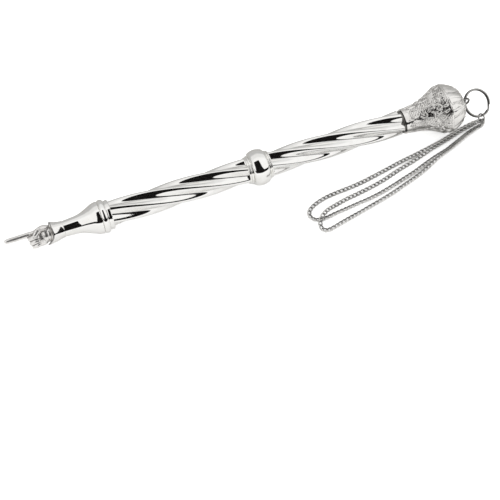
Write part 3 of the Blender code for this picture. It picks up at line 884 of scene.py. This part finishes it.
def panel_relief(p, q):
    """Height of one panel's ornament: a fan of five lobes, mirrored scrolls and leaves."""
    q = np.abs(q)
    h = np.zeros_like(p)
    for spread, length in ((0.0, 2.5), (34.0, 2.2), (68.0, 1.8)):
        c, s = math.cos(math.radians(spread)), math.sin(math.radians(spread))
        h = np.maximum(h, leaf(p, q, (238.6 + length * c, length * s), spread, length, 0.75, RELIEF))
    h = np.maximum(h, stroke(p, q, spiral((233.4, 2.6), 200.0, 1.25, 1.9, 1.0), 0.45, RELIEF))
    h = np.maximum(h, stroke(p, q, spiral((241.2, 5.0), 170.0, 1.3, 2.2, -1.0), 0.5, RELIEF))
    for c, angle, length, width in (((228.6, 0.0), 0.0, 2.2, 0.7), ((229.2, 2.6), 14.0, 2.0, 0.55),
                                    ((235.6, 0.0), 0.0, 2.2, 0.6), ((236.8, 4.6), 40.0, 1.7, 0.6),
                                    ((244.9, 2.6), 25.0, 1.6, 0.65), ((245.0, 5.6), 10.0, 1.5, 0.7),
                                    ((238.2, 2.9), -20.0, 1.3, 0.5), ((226.0, 1.6), -10.0, 1.5, 0.5)):
        h = np.maximum(h, leaf(p, q, c, angle, length, width, RELIEF * 0.9))
    return h


def chasing(p, q):
    """Fine uneven tool work over ground and relief."""
    marks = np.sin(3.4 * p + 2.1 * q) * np.sin(2.9 * q - 1.7 * p + 1.3)
    return 0.022 * marks + 0.012 * np.sin(5.6 * p - 1.1 * q) * np.sin(4.7 * q + 0.8 * p)


def bell_height(a, angle, radius):
    lean = (facing(angle) + 16.0 + 360.0) % (360.0 / PANELS) - 180.0 / PANELS
    q = np.radians(lean) * radius
    h = panel_relief(a, q)
    hatch = 0.05 * np.maximum(np.sin(4.2 * (a + 0.8 * np.radians(lean) * radius)), 0) * (h < 0.02)
    h = h + hatch + chasing(a, np.radians(facing(angle)) * 9.0)
    calm = step(a, 222.8, 226.5) * step(-a, -247.0, -246.7)
    return RELIEF_BASE + (h - RELIEF_BASE) * calm


def bead_row(a, angle, radius, where, size, count):
    """A ring of round beads at one place along the axis."""
    pitch = 360.0 / count
    q = np.radians((angle % pitch) - 0.5 * pitch) * radius
    return ridge(np.hypot(a - where, q), size, size * 0.75)


def dome_height(travel, angle, radius):
    """Height on the dome, by its distance from the rim along the surface."""
    petals = 12
    pitch = 360.0 / petals
    lean = np.radians((angle % pitch) - 0.5 * pitch) * radius
    half = np.radians(0.5 * pitch) * radius
    t = (travel - 0.9) / 7.4
    width = half * 0.84 * np.sqrt(np.clip(1 - np.clip(t * 1.15 - 0.35, -1, 1) ** 2, 0, 1))
    inside = np.clip(1 - (lean / np.maximum(width, 1e-6)) ** 2, 0, 1) * (t > -0.05) * (t < 1.17)
    petal = 0.7 * RELIEF * np.sqrt(inside) * (1 - 0.4 * np.exp(-(lean / 0.3) ** 2))
    inner = bead_row(travel, angle, radius, 11.2, 0.6, 18)
    return 0.03 + np.maximum(petal, inner) + chasing(travel, np.radians(angle) * 9.0)


def make_pommel():
    base = smooth_curve(BELL_CURVE, 190)
    sides = 560
    angle = np.linspace(0, 360, sides, endpoint=False)[None, :]
    a = np.repeat(base[:, 0:1], sides, 1)
    radius = np.repeat(base[:, 1:2], sides, 1)
    h = bell_height(a, angle, radius)
    add_shell("pommel_bell_chased", base, h, [(246.9, TURNED_BORE), (223.0, TURNED_BORE)], "pommel_bell")

    base = smooth_curve(DOME_CURVE, 110)
    travel = np.concatenate([[0], np.cumsum(np.linalg.norm(np.diff(base, axis=0), axis=1))])
    radius = np.repeat(base[:, 1:2], sides, 1)
    h = dome_height(np.repeat(travel[:, None], sides, 1), angle, radius)
    add_shell("pommel_dome_chased", base, h, [(258.35, 0.4), (257.3, 0.4)], "pommel_dome")


def add_shell(name, base, height, closing, node):
    """A turned shell raised by a height at each grid point, with dark ground between the relief."""
    sides = height.shape[1]
    theta = np.radians(np.linspace(0, 360, sides, endpoint=False))[None, :]
    along = np.gradient(base, axis=0)
    along /= np.linalg.norm(along, axis=1)[:, None]
    lift = height - RELIEF_BASE
    fade = step(np.arange(len(base)), 0, 3) * step(-np.arange(len(base)), -len(base) + 1, -len(base) + 4)
    lift = lift * fade[:, None]
    a = base[:, 0:1] - along[:, 1:2] * lift
    radius = base[:, 1:2] + along[:, 0:1] * lift
    recess_and_painted_shade = 0.6 * step(-height, -0.07, 0.02) * fade[:, None]
    for end_a, end_r in closing:
        a = np.vstack([a, np.full((1, sides), end_a)])
        radius = np.vstack([radius, np.full((1, sides), end_r)])
        recess_and_painted_shade = np.vstack([recess_and_painted_shade, np.zeros((1, sides))])
    points = np.stack([a, radius * np.cos(theta), radius * np.sin(theta)], axis=-1)
    faces = grid_faces(len(a), sides, close_rows=True)
    piece = add_piece(name, points.reshape(-1, 3), faces, CHASED_SILVER, sharp=75.0, recess_and_painted_shade=recess_and_painted_shade)
    finish_piece(piece, "pointer", "silver_engraved", node)


make_pommel()


# Lug and rings

def make_lug():
    path = [(255.9, 0, -LUG_RADIUS), (DOME_END, 0, -LUG_RADIUS)]
    for k in range(25):
        t = math.radians(-90 + 7.5 * k)
        path.append((LUG_AXIS_A + LUG_RADIUS * math.cos(t), 0, LUG_RADIUS * math.sin(t)))
    path += [(DOME_END, 0, LUG_RADIUS), (255.9, 0, LUG_RADIUS)]
    lug = swept("chain_lug_staple", path, round_section(LUG_WIRE, 16), WIRE_SILVER,
                up=(0, 1, 0), painted_flank_shade=0.95)
    finish_piece(lug, "pointer", "silver_wire", "chain_lug")


def make_rings():
    threaded, outward, normal = (np.array(v) for v in ring_directions())
    slip = math.radians(RING_SLIP)
    centre = np.array((LUG_AXIS_A, 0, 0)) + RING_RADIUS * (
        math.cos(slip) * outward + math.sin(slip) * threaded)
    turn = np.linspace(0, 720.0 - STEP_WIDTH, 190)
    crossing = np.clip((turn - 360.0 + STEP_WIDTH) / STEP_WIDTH, 0, 1)
    lift = COIL_OFFSET * (2 * crossing * crossing * (3 - 2 * crossing) - 1)
    angle = np.radians(STEP_ANGLE + 0.5 * STEP_WIDTH + turn)
    path = centre + lift[:, None] * normal + RING_RADIUS * (
        np.cos(angle)[:, None] * outward + np.sin(angle)[:, None] * threaded)
    ring = swept("split_ring_coils", path, round_section(RING_WIRE, 14), WIRE_SILVER, up=normal,
                 painted_flank_shade=0.95)
    finish_piece(ring, "split_ring", "silver_wire", "split_ring")

    middle_point, thread_row, across = jump_ring_frame()
    turn = np.radians(np.linspace(3.0, 357.0, 72) + 110.0)
    path = np.array(middle_point) + JUMP_RADIUS * (np.cos(turn)[:, None] * np.array(thread_row)
                                                   + np.sin(turn)[:, None] * np.array(across))
    jump = swept("jump_ring_wire", path, round_section(JUMP_WIRE, 12), WIRE_SILVER, matrix=ROW,
                 painted_flank_shade=0.8)
    finish_piece(jump, "jump_ring", "silver_wire", "jump_ring")


make_lug()
make_rings()

for part in ("hand_stud", "tie_rod"):
    frame["nodes"][part].data.materials[0] = STEEL
for part in ("tie_rod_washer", "tie_rod_nut", "lower_front_plug", "lower_rear_plug",
             "upper_front_plug", "upper_rear_plug"):
    frame["nodes"][part].data.materials[0] = BRASS
